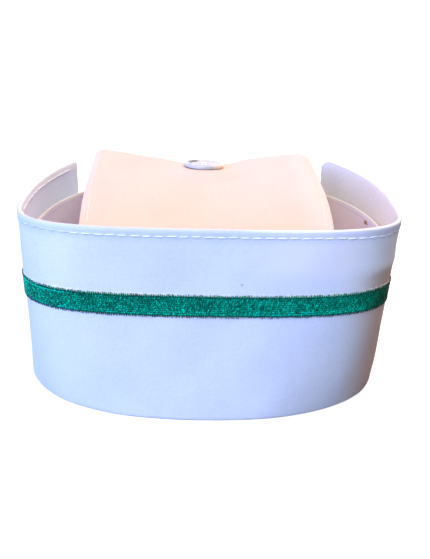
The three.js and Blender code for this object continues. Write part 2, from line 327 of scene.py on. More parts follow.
def weld(piece):
    """Joins points that lie on each other and turns the faces outwards."""
    bm = bmesh.new()
    bm.from_mesh(piece.data)
    bmesh.ops.remove_doubles(bm, verts=bm.verts, dist=WELD_DISTANCE * MM)
    bmesh.ops.dissolve_degenerate(bm, dist=WELD_DISTANCE * MM / 10, edges=bm.edges)
    bmesh.ops.recalc_face_normals(bm, faces=bm.faces)
    bm.to_mesh(piece.data)
    bm.free()


def cloth_body(name, surface, normals, thickness, share, outer_lift, inner_lift, uv, marks, ring=False):
    """A closed cloth wall. Surface holds rows and columns of points of its outer face, share how
    much of the thickness there is, and the lifts how far each face stands out of its plain place.
    Marks are values of the points that the material reads by name."""
    half = thickness / 2
    outer = surface - normals * (half - half * share - outer_lift * share)[..., None]
    inner = surface - normals * (half + half * share + inner_lift * share)[..., None]
    rows, columns = surface.shape[:2]
    r, c = np.meshgrid(np.arange(rows - 1), np.arange(columns if ring else columns - 1), indexing="ij")
    r, c = r.ravel(), c.ravel()
    corners = [(r, c), (r, c + 1), (r + 1, c + 1), (r + 1, c)]
    front = np.stack([row * columns + col % columns for row, col in corners], -1)
    back = rows * columns + front[:, ::-1]
    vertices = np.concatenate([outer.reshape(-1, 3), inner.reshape(-1, 3)])
    piece = show_plan(name, vertices, np.concatenate([front, back]).tolist())
    place = np.stack([uv[row, col] for row, col in corners], 1)
    layer = piece.data.uv_layers.new(name="cloth")
    layer.data.foreach_set("uv", np.concatenate([place, place[:, ::-1]]).reshape(-1).astype(np.float32))
    mark(piece, "inside", "BOOLEAN", "FACE", np.arange(2 * len(front)) >= len(front))
    for label, values in marks.items():
        mark(piece, label, "FLOAT", "POINT", np.tile(values.ravel(), 2).astype(np.float32))
    weld(piece)
    return piece


def stitches(name, threads, radius, sides=6, flat=1.0):
    """Short threads as one mesh, each a line of points with the surface's normals, and a shade."""
    turn = np.arange(sides) / sides * 2 * math.pi
    vertices = []
    faces = []
    values = []
    count = 0
    for line, normals, shade in threads:
        steps = len(line)
        along = np.gradient(line, axis=0)
        along /= np.linalg.norm(along, axis=1)[:, None]
        aside = np.cross(along, normals)
        aside /= np.linalg.norm(aside, axis=1)[:, None]
        up = np.cross(aside, along)
        taper = np.sqrt(np.clip(1 - np.abs(np.linspace(-1, 1, steps)) ** 4, 0.12, 1))
        ring = aside[:, None] * np.cos(turn)[:, None] + up[:, None] * np.sin(turn)[:, None] * flat
        vertices.append((line[:, None] + ring * (radius * taper)[:, None, None]).reshape(-1, 3))
        step, side = np.meshgrid(np.arange(steps - 1) * sides, np.arange(sides), indexing="ij")
        step, side = step.ravel() + count, side.ravel()
        beside = (side + 1) % sides
        quads = [step + side, step + beside, step + sides + beside, step + sides + side]
        faces.extend(np.stack(quads, -1).tolist())
        faces.append(list(range(count + sides - 1, count - 1, -1)))
        count += steps * sides
        faces.append(list(range(count - sides, count)))
        values.append(np.full(steps * sides, shade))
    piece = show_plan(name, np.concatenate(vertices), faces)
    mark(piece, "shade", "FLOAT", "POINT", np.concatenate(values).astype(np.float32))
    return piece


# The cuff
CUFF_RIM_RADIUS = CUFF_THICKNESS / 2
CREASE_LOW = (228, 20.5)
CREASE_HIGH = (262, 16.5)
CREASE_HEIGHT = 0.4
CREASE_WIDTH = 2.6
cuff_waves = waves(3, (26, 90))
cuff_ripples = waves(4, (7, 16))


def crease(u, below):
    """A soft fold over the right corner, from one point of the cuff to another."""
    run, rise = CREASE_HIGH[0] - CREASE_LOW[0], CREASE_HIGH[1] - CREASE_LOW[1]
    length = math.hypot(run, rise)
    along = ((u - CREASE_LOW[0]) * run + (below - CREASE_LOW[1]) * rise) / length
    aside = ((u - CREASE_LOW[0]) * rise - (below - CREASE_LOW[1]) * run) / length
    ends = np.clip(along / 9, 0, 1) * np.clip((length - along) / 9, 0, 1)
    return CREASE_HEIGHT * groove(aside, CREASE_WIDTH) * ends


def cuff_relief(u, below):
    """How far the cuff's outer face stands out, by distance along it and below its rim."""
    soft = 0.22 * cuff_waves(u, below) + 0.03 * cuff_ripples(u, below)
    hem = HEM_LIFT * below_edge(below, TOPSTITCH_BELOW_RIM, 0.35)
    drawn_in = CUFF_PUCKER * (0.75 - 0.25 * np.cos(u / TOPSTITCH_PITCH * 2 * math.pi))
    pucker = drawn_in * groove(below - TOPSTITCH_BELOW_RIM, 0.55)
    return soft * np.clip(below / 12, 0.15, 1) + hem - pucker + crease(u, below)


def cuff_place(distance, below, inset):
    """Points of the cuff at a distance along it from its left end and below its rim."""
    level = 1 - np.mean(below) / CUFF_FRONT_HEIGHT
    angle, _ = cuff_angles(level, distance / CUFF_LENGTH)
    return wall_point(angle, rim_height(angle) - below, inset)


def corner_drop(distance):
    """How far the top edge drops in its rounded corners."""
    left = CUFF_LEFT_CORNER * (1 - cover(distance, CUFF_LEFT_CORNER))
    right = CUFF_RIGHT_CORNER * (1 - cover(CUFF_LENGTH - distance, CUFF_RIGHT_CORNER))
    return left + right


def make_cuff():
    along = spaced(CUFF_LENGTH, CUFF_RIM_RADIUS, 300)
    corner = np.linspace(CUFF_LENGTH - CUFF_RIGHT_CORNER, CUFF_LENGTH - CUFF_RIM_RADIUS, 8)
    along = np.unique(np.round(np.concatenate([along, corner]), 4))
    up = spaced(CUFF_FRONT_HEIGHT, CUFF_RIM_RADIUS, 66)
    angles = cuff_rows(up / CUFF_FRONT_HEIGHT, along / CUFF_LENGTH)
    top = rim_height(angles) - corner_drop(along)
    heights = stretched(up, CUFF_FRONT_HEIGHT, CUFF_RIM_RADIUS, top)
    surface, normals = wall_point(angles, heights, 0)
    below = heights[-1] - heights
    edge = np.minimum(along, CUFF_LENGTH - along)
    share = np.minimum(cover(below, CUFF_RIM_RADIUS), cover(heights, CUFF_RIM_RADIUS))
    share = np.minimum(share, cover(edge, CUFF_RIM_RADIUS))
    u = along + 0 * heights
    lift = cuff_relief(u, below)
    hem = HEM_LIFT * below_edge(below, TOPSTITCH_BELOW_RIM + HEM_PAST_STITCHES, 0.3)
    inner = hem * np.interp(u, (CUFF_LENGTH / 2, CUFF_LENGTH * 0.7), (0.8, 0.1))
    uv = np.stack([u, heights], -1)
    above = heights - STRIPE_CENTRE_LEVEL * (heights[-1] + corner_drop(along)) - STRIPE_WIDTH / 2
    marks = {"below_rim": np.minimum(below, edge), "hem_depth": below, "above_stripe": above}
    piece = cloth_body("cuff_cloth", surface, normals, CUFF_THICKNESS, share, lift, inner, uv, marks)
    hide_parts("cuff")
    return piece


def make_topstitch():
    """Rows of stitches below the rim on both faces of the cuff."""
    rng = np.random.default_rng(11)
    threads = []
    count = int((CUFF_LENGTH - 2 * TOPSTITCH_END) / TOPSTITCH_PITCH)
    t = np.linspace(0, 1, 9)
    arch = np.sin(t * math.pi) ** 0.35
    for number in range(count):
        start = TOPSTITCH_END + number * TOPSTITCH_PITCH + rng.uniform(-0.15, 0.15)
        length = TOPSTITCH_LENGTH + rng.uniform(-0.4, 0.3)
        u = start + t * length
        kink = rng.uniform(0.1, 0.3) * (t > 0.95) + rng.uniform(-0.1, 0.25) * (t < 0.05)
        sag = np.interp(start, TOPSTITCH_SAG_PLACES, TOPSTITCH_SAG)
        below = TOPSTITCH_BELOW_RIM + sag + rng.uniform(-0.1, 0.1) + t * rng.uniform(-0.15, 0.15) - kink
        lift = cuff_relief(u, below)
        outer, normals = cuff_place(u, below, 0)
        # A random tone per stitch, lowered by painted shade near the left end.
        shade = max(rng.uniform(0.7, 1.0) - np.interp(start, TOPSTITCH_LEFT_SHADE_SPAN, (1, 0)), 0)
        threads.append((outer + normals * (lift + 0.2 * arch - 0.06)[:, None], normals, shade))
        u = start + TOPSTITCH_PITCH * 0.6 + t * length * INNER_STITCH_SHARE
        inner, normals = cuff_place(u, below, CUFF_THICKNESS)
        stand = np.interp(start, (CUFF_LENGTH / 2, CUFF_LENGTH * 0.7), (0.26, -0.5))
        threads.append((inner - normals * (stand + 0.1 * arch)[:, None], -normals, INNER_STITCH_SHADE))
    piece = stitches("cuff_topstitch", threads, TOPSTITCH_RADIUS)
    return piece


# The head band
def band_height(angle):
    rear_depth = plan_point(math.pi, 1)[1]
    depth = np.maximum(plan_point(angle, 1)[1], 0)
    return BAND_FRONT_HEIGHT + BAND_REAR_RISE * (depth / rear_depth) ** BAND_RISE_POWER


def band_inset(height):
    return CUFF_THICKNESS + CLOTH_GAP + BAND_TOP_INSET * (height / BAND_FRONT_HEIGHT)


BAND_HEM = 2.1
BAND_HEM_LIFT = 0.12
BAND_RIM_RADIUS = BAND_THICKNESS / 2
band_waves = waves(7, (24, 80))


def make_head_band():
    shares = np.arange(330) / 330
    up = spaced(BAND_FRONT_HEIGHT, BAND_RIM_RADIUS, 56)
    rows = [angles_along(place / CUFF_FRONT_HEIGHT, -math.pi, math.pi, shares) for place in up]
    angles = np.array([row[0] for row in rows])
    length = rows[-1][1]
    heights = stretched(up, BAND_FRONT_HEIGHT, BAND_RIM_RADIUS, band_height(angles))
    surface, normals = wall_point(angles, heights, band_inset(heights))
    below = heights[-1] - heights
    share = np.minimum(cover(below, BAND_RIM_RADIUS), cover(heights, BAND_RIM_RADIUS))
    u = shares * length + 0 * heights
    hem = BAND_HEM_LIFT * below_edge(below, BAND_HEM, 0.2)
    outer = np.minimum(0.1 * band_waves(u, below), 0.12)
    inner = hem + 0.12 * band_waves(u, below)
    closed = np.concatenate([u, np.full((len(up), 1), length)], 1)
    tall = np.concatenate([heights, heights[:, :1]], 1)
    uv = np.stack([closed, tall], -1)
    piece = cloth_body("head_band_cloth", surface, normals, BAND_THICKNESS, share, outer, inner, uv,
                       {"below_rim": below}, ring=True)
    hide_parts("head_band")
    return piece


# The crown panel
def depth_inside_band(x, height, at_rear):
    """Depth of the face that lies just inside the band, at side distances and a height."""
    inset = band_inset(height) + BAND_THICKNESS + TAIL_GAP
    near = np.full(x.shape, math.pi if at_rear else -math.pi / 2)
    far = np.full(x.shape, math.pi / 2)
    side = np.where(x < 0, -1.0, 1.0) if at_rear else np.ones(x.shape)
    for _ in range(40):
        middle = (near + far) / 2
        short = wall_point(middle * side, height + 0 * x, inset)[0][..., 0] * side < x * side
        near = np.where(short, middle, near)
        far = np.where(short, far, middle)
    return wall_point(near * side, height + 0 * x, inset)[0][..., 1]


def fold_height(across):
    peak = np.where(across < 0, FOLD_LEFT_PEAK, FOLD_RIGHT_PEAK)
    drop = np.where(across < 0, FOLD_LEFT_DROP, FOLD_RIGHT_DROP)
    distance = np.abs(across)
    inside = CROWN_PEAK_HEIGHT - FOLD_DIP * (1 - distance / peak)
    outside = CROWN_PEAK_HEIGHT - drop * ((distance - peak) / (1 - peak)) ** 2
    return np.where(distance < peak, inside, outside)


def button_underside(x, y):
    """Height of the button's underside over places of the plan, level with its rim past its edge."""
    low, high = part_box("button")
    centre = (np.array((low + high) / 2) - ORIGIN) / MM
    dx = x - centre[0]
    dy = y - centre[1]
    radius = np.hypot(dx, dy)
    radii = [r for r, _ in BUTTON_PROFILE[:6]]
    rises = [z for _, z in BUTTON_PROFILE[:6]]
    tilt = dy * math.tan(math.radians(BUTTON_REAR_TILT)) - dx * math.tan(math.radians(BUTTON_SIDE_TILT))
    height = centre[2] - BUTTON_THICKNESS / 2 + tilt + np.interp(radius, radii, rises)
    return height, radius


def seated(points):
    """Lifts the cloth to the button, as the sewn shank draws it up, and lets it fall away round it."""
    height, radius = button_underside(points[..., 0], points[..., 1])
    near = np.clip((SEAT_SLOPE_END - radius) / (SEAT_SLOPE_END - BUTTON_DIAMETER / 2), 0, 1)
    near = near * near * (3 - 2 * near)
    above = height - SEAT_CLEARANCE - points[..., 2]
    on_top = points[..., 2] > CROWN_SEAT_HEIGHT
    points[..., 2] += np.where(on_top, above * near, 0)
    return points


def lerp(a, b, share):
    return a + (b - a) * share


def crown_keys(across):
    """Key points of the panel's outer line from its front tail to its rear tail, by column."""
    flat_x = across * CROWN_WIDTH / 2
    fold_x = flat_x + CROWN_REAR_SHIFT
    top = fold_height(across)
    front_depth = depth_inside_band(flat_x, CROWN_LIFT_HEIGHT, False)
    rear_depth = depth_inside_band(fold_x, CROWN_SEAT_HEIGHT, True)
    keys = []

    def key(x, y, z):
        keys.append(np.stack([x, y + 0 * x, z + 0 * x], -1))

    for tuck in (CROWN_TUCK, CROWN_TUCK / 2, 0):
        height = CROWN_LIFT_HEIGHT - tuck
        key(flat_x, depth_inside_band(flat_x, height, False), height)
    for along, rise in FRONT_SLOPE:
        y = lerp(front_depth, CROWN_FOLD_DEPTH, along)
        key(lerp(flat_x, fold_x, along), y, lerp(CROWN_LIFT_HEIGHT, top, rise))
    key(fold_x, CROWN_FOLD_DEPTH, top)
    for along, rise in REAR_SLOPE:
        key(fold_x, lerp(CROWN_FOLD_DEPTH, rear_depth, along), lerp(CROWN_SEAT_HEIGHT, top, rise))
    for tuck in (0, CROWN_TUCK / 2, CROWN_TUCK):
        height = CROWN_SEAT_HEIGHT - tuck
        key(fold_x, depth_inside_band(fold_x, height, True), height)
    return np.array(keys)


def catmull_rom(keys, steps):
    """Centripetal curve through rows of key points, with even steps between neighbours."""
    first = 2 * keys[0] - keys[1]
    last = 2 * keys[-1] - keys[-2]
    keys = np.concatenate([first[None], keys, last[None]])
    rows = []
    t = np.linspace(0, 1, steps, endpoint=False)[:, None, None]
    for a, b, c, d in zip(keys[:-3], keys[1:-2], keys[2:-1], keys[3:]):
        ab = np.linalg.norm(b - a, axis=-1, keepdims=True) ** 0.5
        bc = np.linalg.norm(c - b, axis=-1, keepdims=True) ** 0.5
        cd = np.linalg.norm(d - c, axis=-1, keepdims=True) ** 0.5
        leave = ((b - a) / ab - (c - a) / (ab + bc) + (c - b) / bc) * bc
        arrive = ((c - b) / bc - (d - b) / (bc + cd) + (d - c) / cd) * bc
        rows.append(b + leave * t + (-3 * b + 3 * c - 2 * leave - arrive) * t ** 2
                    + (2 * b - 2 * c + leave + arrive) * t ** 3)
    return np.concatenate(rows + [keys[-2][None]])


CROWN_RIM_RADIUS = CROWN_THICKNESS / 2
CROWN_STEPS = 40
crown_waves = waves(9, (20, 60))
middle_line = catmull_rom(crown_keys(np.zeros(1)), CROWN_STEPS)[:, 0]
middle_steps = np.linalg.norm(np.diff(middle_line, axis=0), axis=1)
CROWN_LENGTH = float(middle_steps.sum())


def crown_surface(across, along):
    """Outer face at shares across (-1 to 1) and distances along the panel's middle line."""
    grid = catmull_rom(crown_keys(across), CROWN_STEPS)
    length = np.concatenate([[0], np.cumsum(middle_steps)])
    at = np.interp(along, length, np.arange(len(length)))
    low = np.minimum(at.astype(int), len(length) - 2)
    return seated(lerp(grid[low], grid[low + 1], (at - low)[:, None, None]))


def grid_normals(points):
    across = np.gradient(points, axis=1)
    along = np.gradient(points, axis=0)
    normals = np.cross(across, along)
    return normals / np.linalg.norm(normals, axis=-1, keepdims=True)


def crown_relief(u, v):
    soft = 0.16 * crown_waves(u, v)
    side = CROWN_WIDTH / 2 - np.abs(u)
    hem = HEM_LIFT * below_edge(side, SIDE_STITCH_INSET, 0.3)
    pucker = CROWN_PUCKER * groove(side - SIDE_STITCH_INSET, 0.45)
    return soft * np.clip(side / 10, 0.2, 1) + hem - pucker


def make_crown():
    across = (spaced(CROWN_WIDTH, CROWN_RIM_RADIUS, 110) - CROWN_WIDTH / 2) / (CROWN_WIDTH / 2)
    along = spaced(CROWN_LENGTH, CROWN_RIM_RADIUS, 190)
    surface = crown_surface(across, along)
    normals = grid_normals(crown_surface(across * 0.999, along))
    side = (1 - np.abs(across)) * CROWN_WIDTH / 2
    end = np.minimum(along, CROWN_LENGTH - along)
    share = np.minimum(cover(side, CROWN_RIM_RADIUS)[None], cover(end, CROWN_RIM_RADIUS)[:, None])
    u, v = np.meshgrid(across * CROWN_WIDTH / 2, along)
    lift = crown_relief(u, v)
    uv = np.stack([u, v], -1)
    marks = {"below_rim": np.minimum(side[None], end[:, None])}
    piece = cloth_body("crown_cloth", surface, normals, CROWN_THICKNESS, share, lift, 0.3 * lift, uv, marks)
    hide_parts("crown_panel")
    return piece


def make_side_stitches():
    rng = np.random.default_rng(12)
    inset = 1 - SIDE_STITCH_INSET / (CROWN_WIDTH / 2)
    fine = np.linspace(0, CROWN_LENGTH, 900)
    threads = []
    for side in (-1, 1):
        across = np.array([side * inset - 0.004, side * inset, side * inset + 0.004])
        grid = crown_surface(across, fine)
        normals = grid_normals(grid)[:, 1]
        line = grid[:, 1] + normals * crown_relief(across[1] * CROWN_WIDTH / 2 + 0 * fine, fine)[:, None]
        for number in range(int(CROWN_LENGTH / SIDE_STITCH_PITCH)):
            start = (number + 0.2) * SIDE_STITCH_PITCH + rng.uniform(-0.15, 0.15)
            t = np.linspace(0, 1, 5)
            at = start + t * (SIDE_STITCH_LENGTH + rng.uniform(-0.25, 0.25))
            if at[-1] > CROWN_LENGTH - 1:
                continue
            here = np.stack([np.interp(at, fine, line[:, k]) for k in range(3)], -1)
            out = np.stack([np.interp(at, fine, normals[:, k]) for k in range(3)], -1)
            arch = np.sin(t * math.pi) ** 0.6
            # Green low down and the crown's washed-out peach higher up, as painted light.
            shade = np.interp(here[0, 2] - CROWN_SEAT_HEIGHT, SIDE_STITCH_GREEN_END, (1, 0))
            threads.append((here + out * (0.15 * arch - 0.06)[:, None], out, shade))
            under = here - out * (CROWN_THICKNESS + 0.1 + 0.12 * arch)[:, None]
            threads.append((under, -out, shade))
    piece = stitches("crown_side_stitches", threads, SIDE_STITCH_RADIUS)
    return piece


# The stripe
def stripe_relief(u, level, angle):
    """How far the cuff under the stripe stands out, at a distance along the stripe."""
    share = (u + STRIPE_END_SETBACK) / (STRIPE_LENGTH + 2 * STRIPE_END_SETBACK)
    return cuff_relief(share * CUFF_LENGTH, rim_height(angle) * (1 - level))


STRIPE_LENGTH = cuff_angles(STRIPE_CENTRE_LEVEL, [0], STRIPE_END_SETBACK)[1]


def make_stripe():
    half = STRIPE_WIDTH / 2 - STRIPE_TEETH
    radius = STRIPE_THICKNESS / 2
    across = spaced(2 * half, radius, 12)[:, None] - half
    along = spaced(STRIPE_LENGTH, radius, 300)
    level = STRIPE_CENTRE_LEVEL + across / CUFF_FRONT_HEIGHT
    angles = cuff_rows(level[:, 0], along / STRIPE_LENGTH, STRIPE_END_SETBACK)
    surface, normals = wall_point(angles, level * rim_height(angles), -STRIPE_GAP - STRIPE_THICKNESS)
    lift = stripe_relief(along, level, angles)
    end = np.minimum(along, STRIPE_LENGTH - along)
    share = np.minimum(cover(half - np.abs(across), radius), cover(end, radius))
    u = along + 0 * across
    uv = np.stack([u, across + 0 * u], -1)
    piece = cloth_body("stripe_ribbon", surface, normals, STRIPE_THICKNESS, share, lift, -lift, uv, {})
    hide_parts("stripe")
    return piece


stripe_shares = np.linspace(0, 1, 500)
stripe_angles = cuff_angles(STRIPE_CENTRE_LEVEL, stripe_shares, STRIPE_END_SETBACK)[0]


def stripe_thread(u, offset_up, stand):
    """A thread's line on the ribbon: distances along, heights above its centre and standing out."""
    u = np.clip(u, THREAD_MARGIN, STRIPE_LENGTH - THREAD_MARGIN)
    level = STRIPE_CENTRE_LEVEL + offset_up / CUFF_FRONT_HEIGHT
    angle = np.interp(u / STRIPE_LENGTH, stripe_shares, stripe_angles)
    out = STRIPE_GAP + STRIPE_THICKNESS + stand + stripe_relief(u, level, angle)
    return wall_point(angle, level * rim_height(angle), -out)


def make_stripe_field():
    """Short overlapping stitches in slanting rows, with brighter and darker threads."""
    rng = np.random.default_rng(21)
    slant = waves(22, (9, 26))
    tone = waves(23, (6, 18))
    row_height = (FIELD_HIGH - FIELD_LOW) / FIELD_ROWS
    t = np.linspace(-0.5, 0.5, 3)
    arch = np.cos(t * math.pi)
    threads = []
    for row in range(FIELD_ROWS):
        centre = FIELD_LOW + (row + 0.5) * row_height
        for number in range(int((STRIPE_LENGTH - 2 * FIELD_END) / FIELD_PITCH)):
            u = FIELD_END + (number + 0.5 * (row % 2)) * FIELD_PITCH + rng.uniform(-0.12, 0.12)
            middle = centre + rng.uniform(-0.22, 0.22)
            lean = FIELD_LEAN + 0.3 * slant(u, centre) + rng.uniform(-0.35, 0.35)
            length = row_height * rng.uniform(0.8, 1.15)
            up = middle + t * length * math.cos(lean)
            stand = (0.1 + rng.uniform(0, 0.1)) * arch
            line, normals = stripe_thread(u + t * length * math.sin(lean), up, stand)
            glow = 0.44 + 0.06 * tone(u, centre) + rng.normal(0, 0.2)
            glow += 0.4 * (rng.random() < 0.1) - 0.35 * (rng.random() < 0.12)
            if row == FIELD_ROWS - 1 and u < BRIGHT_ROW_END:
                glow += 0.42
            if row < 2 and u > BRIGHT_ROW_END:
                glow += 0.12
            threads.append((line, normals, min(max(glow, 0), 1)))
    piece = stitches("stripe_field_threads", threads, FIELD_THREAD_RADIUS, sides=5, flat=0.8)
    return piece


def make_stripe_edges():
    """The toothed overcast edges and the two dark cords beside them."""
    rng = np.random.default_rng(31)
    t = np.linspace(0, 1, 5)
    stand = 0.16 + 0.06 * np.sin(t * math.pi) - (STRIPE_GAP + STRIPE_THICKNESS) * t ** 2.5
    cord_t = np.linspace(0, 1, 6)
    threads = []
    for side, edge in STRIPE_EDGES.items():
        u = EDGE_END
        while u < STRIPE_LENGTH - EDGE_END:
            along = u + rng.uniform(-0.25, 0.25) * t
            reach = edge["tip"] + side * rng.uniform(-0.3, 0.35)
            tooth = stripe_thread(along, lerp(edge["root"], reach, t), stand)
            threads.append((*tooth, rng.uniform(0.0, 0.14)))
            if side > 0 and rng.random() < 0.6:
                up = lerp(edge["root"], reach - 0.35, t)
                tooth = stripe_thread(along + TOOTH_PITCH / 2, up, stand - 0.05)
                threads.append((*tooth, rng.uniform(0.9, 1.0)))
            u += TOOTH_PITCH * rng.uniform(0.75, 1.25)
        for number in range(int((STRIPE_LENGTH - 2 * EDGE_END) / CORD_STEP)):
            along = EDGE_END + (number + cord_t * 1.15) * CORD_STEP
            up = edge["cord"] + 0.1 * np.sin(cord_t * math.pi * 2 + number)
            threads.append((*stripe_thread(along, up, 0.14), rng.uniform(0.0, 0.08)))
    piece = stitches("stripe_edge_threads", threads, EDGE_THREAD_RADIUS, sides=5, flat=0.8)
    return piece


# The button
def button_matrix():
    low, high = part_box("button")
    centre = (low + high) / 2
    turn = Matrix.Rotation(math.radians(BUTTON_SIDE_TILT), 4, "Y")
    turn = Matrix.Rotation(math.radians(BUTTON_REAR_TILT), 4, "X") @ turn
    return Matrix.Translation(centre) @ turn


def lathe(name, profile, sides, matrix):
    """A surface of revolution from radius and height pairs in mm."""
    bm = bmesh.new()
    rings = []
    for radius, height in profile:
        reach = radius * MM
        turns = np.arange(sides if radius else 1) / sides * 2 * math.pi
        rings.append([bm.verts.new((reach * math.cos(a), reach * math.sin(a), height * MM)) for a in turns])
    for low, high in zip(rings[:-1], rings[1:]):
        for side in range(sides):
            beside = side + 1
            corners = [ring[at % len(ring)] for ring, at in
                       ((low, side), (low, beside), (high, beside), (high, side))]
            bm.faces.new(list(dict.fromkeys(corners)))
    bmesh.ops.recalc_face_normals(bm, faces=bm.faces)
    mesh = bpy.data.meshes.new(name)
    bm.to_mesh(mesh)
    bm.free()
    mesh.transform(matrix)
    return show(name, mesh)


def make_button():
    middle = BUTTON_THICKNESS / 2
    matrix = button_matrix()
    piece = lathe("button_shell", [(r, z - middle) for r, z in BUTTON_PROFILE], 96, matrix)
    reach = BUTTON_HOLE_SPACING * math.sqrt(0.5)
    for hole in range(4):
        turn = (hole + 0.5) * math.pi / 2
        place = Matrix.Translation((reach * MM * math.cos(turn), reach * MM * math.sin(turn), 0))
        drill = lathe("drill", [(0, -4), (BUTTON_HOLE_RADIUS, -4), (BUTTON_HOLE_RADIUS, 4), (0, 4)], 20,
                      matrix @ place)
        cut = piece.modifiers.new("hole", "BOOLEAN")
        cut.operation = "DIFFERENCE"
        cut.solver = "EXACT"
        cut.object = drill
        depsgraph = bpy.context.evaluated_depsgraph_get()
        cut_mesh = bpy.data.meshes.new_from_object(piece.evaluated_get(depsgraph))
        piece.modifiers.clear()
        piece.data = cut_mesh
        bpy.data.objects.remove(drill)
    inward = matrix.inverted()
    hollow = piece.data.attributes.new("hollow", "FLOAT", "POINT")
    for vertex, value in zip(piece.data.vertices, hollow.data):
        place = inward @ vertex.co / MM
        radius = place.xy.length
        # The rear wall of the hollow is marked for the painted shadow of the rim.
        rim_shadow_wall = place.y > 1.5 and radius > BUTTON_FLOOR_RADIUS
        if place.z > 0 and radius < BUTTON_HOLLOW_RADIUS:
            value.value = 1.0 if rim_shadow_wall else 0.5
    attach(piece, "root")
    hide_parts("button")
    return piece


def make_button_thread():
    """Strands between the holes on top, and the wound shank below."""
    matrix = button_matrix()
    reach = BUTTON_HOLE_SPACING * math.sqrt(0.5)
    threads = []
    for pair in ((0.5, 1.5), (2.5, 3.5)):
        for strand in range(5):
            shift = (strand - 2) * BUTTON_STRAND_PITCH
            t = np.linspace(0, 1, 9)
            a, b = [np.array([math.cos(p * math.pi / 2), math.sin(p * math.pi / 2)]) * reach for p in pair]
            flat = lerp(a, b, t[:, None])
            flat[:, 1] += shift
            height = 0.55 + 0.42 * np.sin(t * math.pi) ** 0.35 - 0.5 * (np.abs(t - 0.5) > 0.46)
            local = np.concatenate([flat, height[:, None] + 0.05 * (strand % 2)], 1)
            world = np.array([list(matrix @ Vector(p * MM)) for p in local])
            up = np.array([list(matrix.to_3x3() @ Vector((0, 0, 1)))] * len(t))
            threads.append(((world - ORIGIN) / MM, up, 0.5))
    low, high = [(np.array(corner) - ORIGIN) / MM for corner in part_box("button_thread")]
    centre = (low + high) / 2
    radius = (high[0] - low[0]) / 2 - 0.3
    t = np.linspace(0, 1, SHANK_TURNS * 16)
    turn = t * SHANK_TURNS * 2 * math.pi
    coil = np.stack([centre[0] + radius * np.cos(turn), centre[1] + radius * np.sin(turn),
                     low[2] + 0.25 + t * (high[2] - low[2] - 0.5)], -1)
    out = np.stack([np.cos(turn), np.sin(turn), 0 * turn], -1)
    threads.append((coil, out, 0.5))
    piece = stitches("button_thread_strands", threads, BUTTON_THREAD_RADIUS)
    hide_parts("button_thread")
    return piece


# Materials
class Nodes:
    """Short calls that add nodes to a node tree."""

    def __init__(self, tree):
        self.tree = tree

    def fill(self, sockets, values):
        """Links or sets input sockets in order."""
        for socket, value in zip(sockets, values):
            if isinstance(value, bpy.types.NodeSocket):
                self.tree.links.new(value, socket)
            else:
                socket.default_value = (*value, 1) if socket.type == "RGBA" else value

    def set(self, node, **values):
        self.fill([node.inputs[name.replace("_", " ")] for name in values], values.values())

    def node(self, kind, settings=(), **values):
        node = self.tree.nodes.new("ShaderNode" + kind)
        for name, value in dict(settings).items():
            setattr(node, name, value)
        self.set(node, **values)
        return node

    def math(self, operation, *values):
        node = self.node("Math", {"operation": operation})
        self.fill(node.inputs, values)
        return node.outputs[0]

    def vector(self, operation, *values):
        node = self.node("VectorMath", {"operation": operation})
        self.fill(node.inputs, values)
        return node

    def span(self, value, low, high):
        """Smooth step from 0 at low to 1 at high."""
        settings = {"interpolation_type": "SMOOTHSTEP"}
        return self.node("MapRange", settings, Value=value, From_Min=low, From_Max=high).outputs["Result"]


class Shader(Nodes):
    """A material with its Principled shader, and the looks that several materials share."""

    def __init__(self, name, roughness, **sockets):
        self.material = bpy.data.materials.new(name)
        self.material.use_nodes = True
        super().__init__(self.material.node_tree)
        self.shader = self.tree.nodes["Principled BSDF"]
        self.set(self.shader, Roughness=roughness, **sockets)

    def ramp(self, factor, stops):
        node = self.node("ValToRGB", Fac=factor)
        elements = node.color_ramp.elements
        while len(elements) < len(stops):
            elements.new(0.5)
        for element, (place, colour) in zip(elements, stops):
            element.position = place
            element.color = (*colour, 1)
        return node.outputs["Color"]

    def blend(self, share, first, second, way="MIX"):
        node = self.node("Mix", {"data_type": "RGBA", "blend_type": way})
        self.fill((node.inputs[0], node.inputs[6], node.inputs[7]), (share, first, second))
        return node.outputs[2]

    def place(self):
        return self.node("TexCoord").outputs["Object"]

    def axis(self, name):
        return self.node("SeparateXYZ", Vector=self.place()).outputs[name]

    def mark(self, name):
        return self.node("Attribute", {"attribute_name": name}).outputs["Fac"]

    def both(self, *shares):
        """Product of several shares."""
        total = shares[0]
        for share in shares[1:]:
            total = self.math("MULTIPLY", total, share)
        return total

    def where(self, face=None, **ranges):
        """Share that is 1 on a face, inside or outside, and within ranges. A range is by axis of
        the frame or by mark, and has pairs of values in mm at which it starts and is full."""
        shares = []
        if face:
            inside = self.mark("inside")
            shares.append(inside if face == "inside" else self.math("SUBTRACT", 1.0, inside))
        for name, values in ranges.items():
            source, unit = (self.axis(name), MM) if name in "XYZ" else (self.mark(name), 1)
            for start, full in zip(values[::2], values[1::2]):
                shares.append(self.span(source, start * unit, full * unit))
        return self.both(*shares)

    def tint(self, colour, other, way="MIX", face=None, **ranges):
        """Another colour on a face and within ranges."""
        return self.blend(self.where(face, **ranges), colour, other, way)

    def speck(self, colour, place, radius, tint):
        """A small spot of another colour at a place in the frame."""
        away = self.vector("DISTANCE", self.place(), place).outputs["Value"]
        return self.blend(self.span(away, radius * 1.3, radius * 0.7), colour, tint)

    def noise(self, scale, detail, roughness=0.5):
        node = self.node("TexNoise", Vector=self.place(), Scale=scale, Detail=detail, Roughness=roughness)
        return node.outputs["Fac"]

    def bump(self, height, strength, distance):
        node = self.node("Bump", Height=height, Strength=strength, Distance=distance)
        self.set(self.shader, Normal=node.outputs["Normal"])


WEAVE_PITCH = 0.42
RIM_START = 0.9
RIM_FULL = 0.4
WHITE = (1.0, 1.0, 1.0)
BLACK = (0.0, 0.0, 0.0)
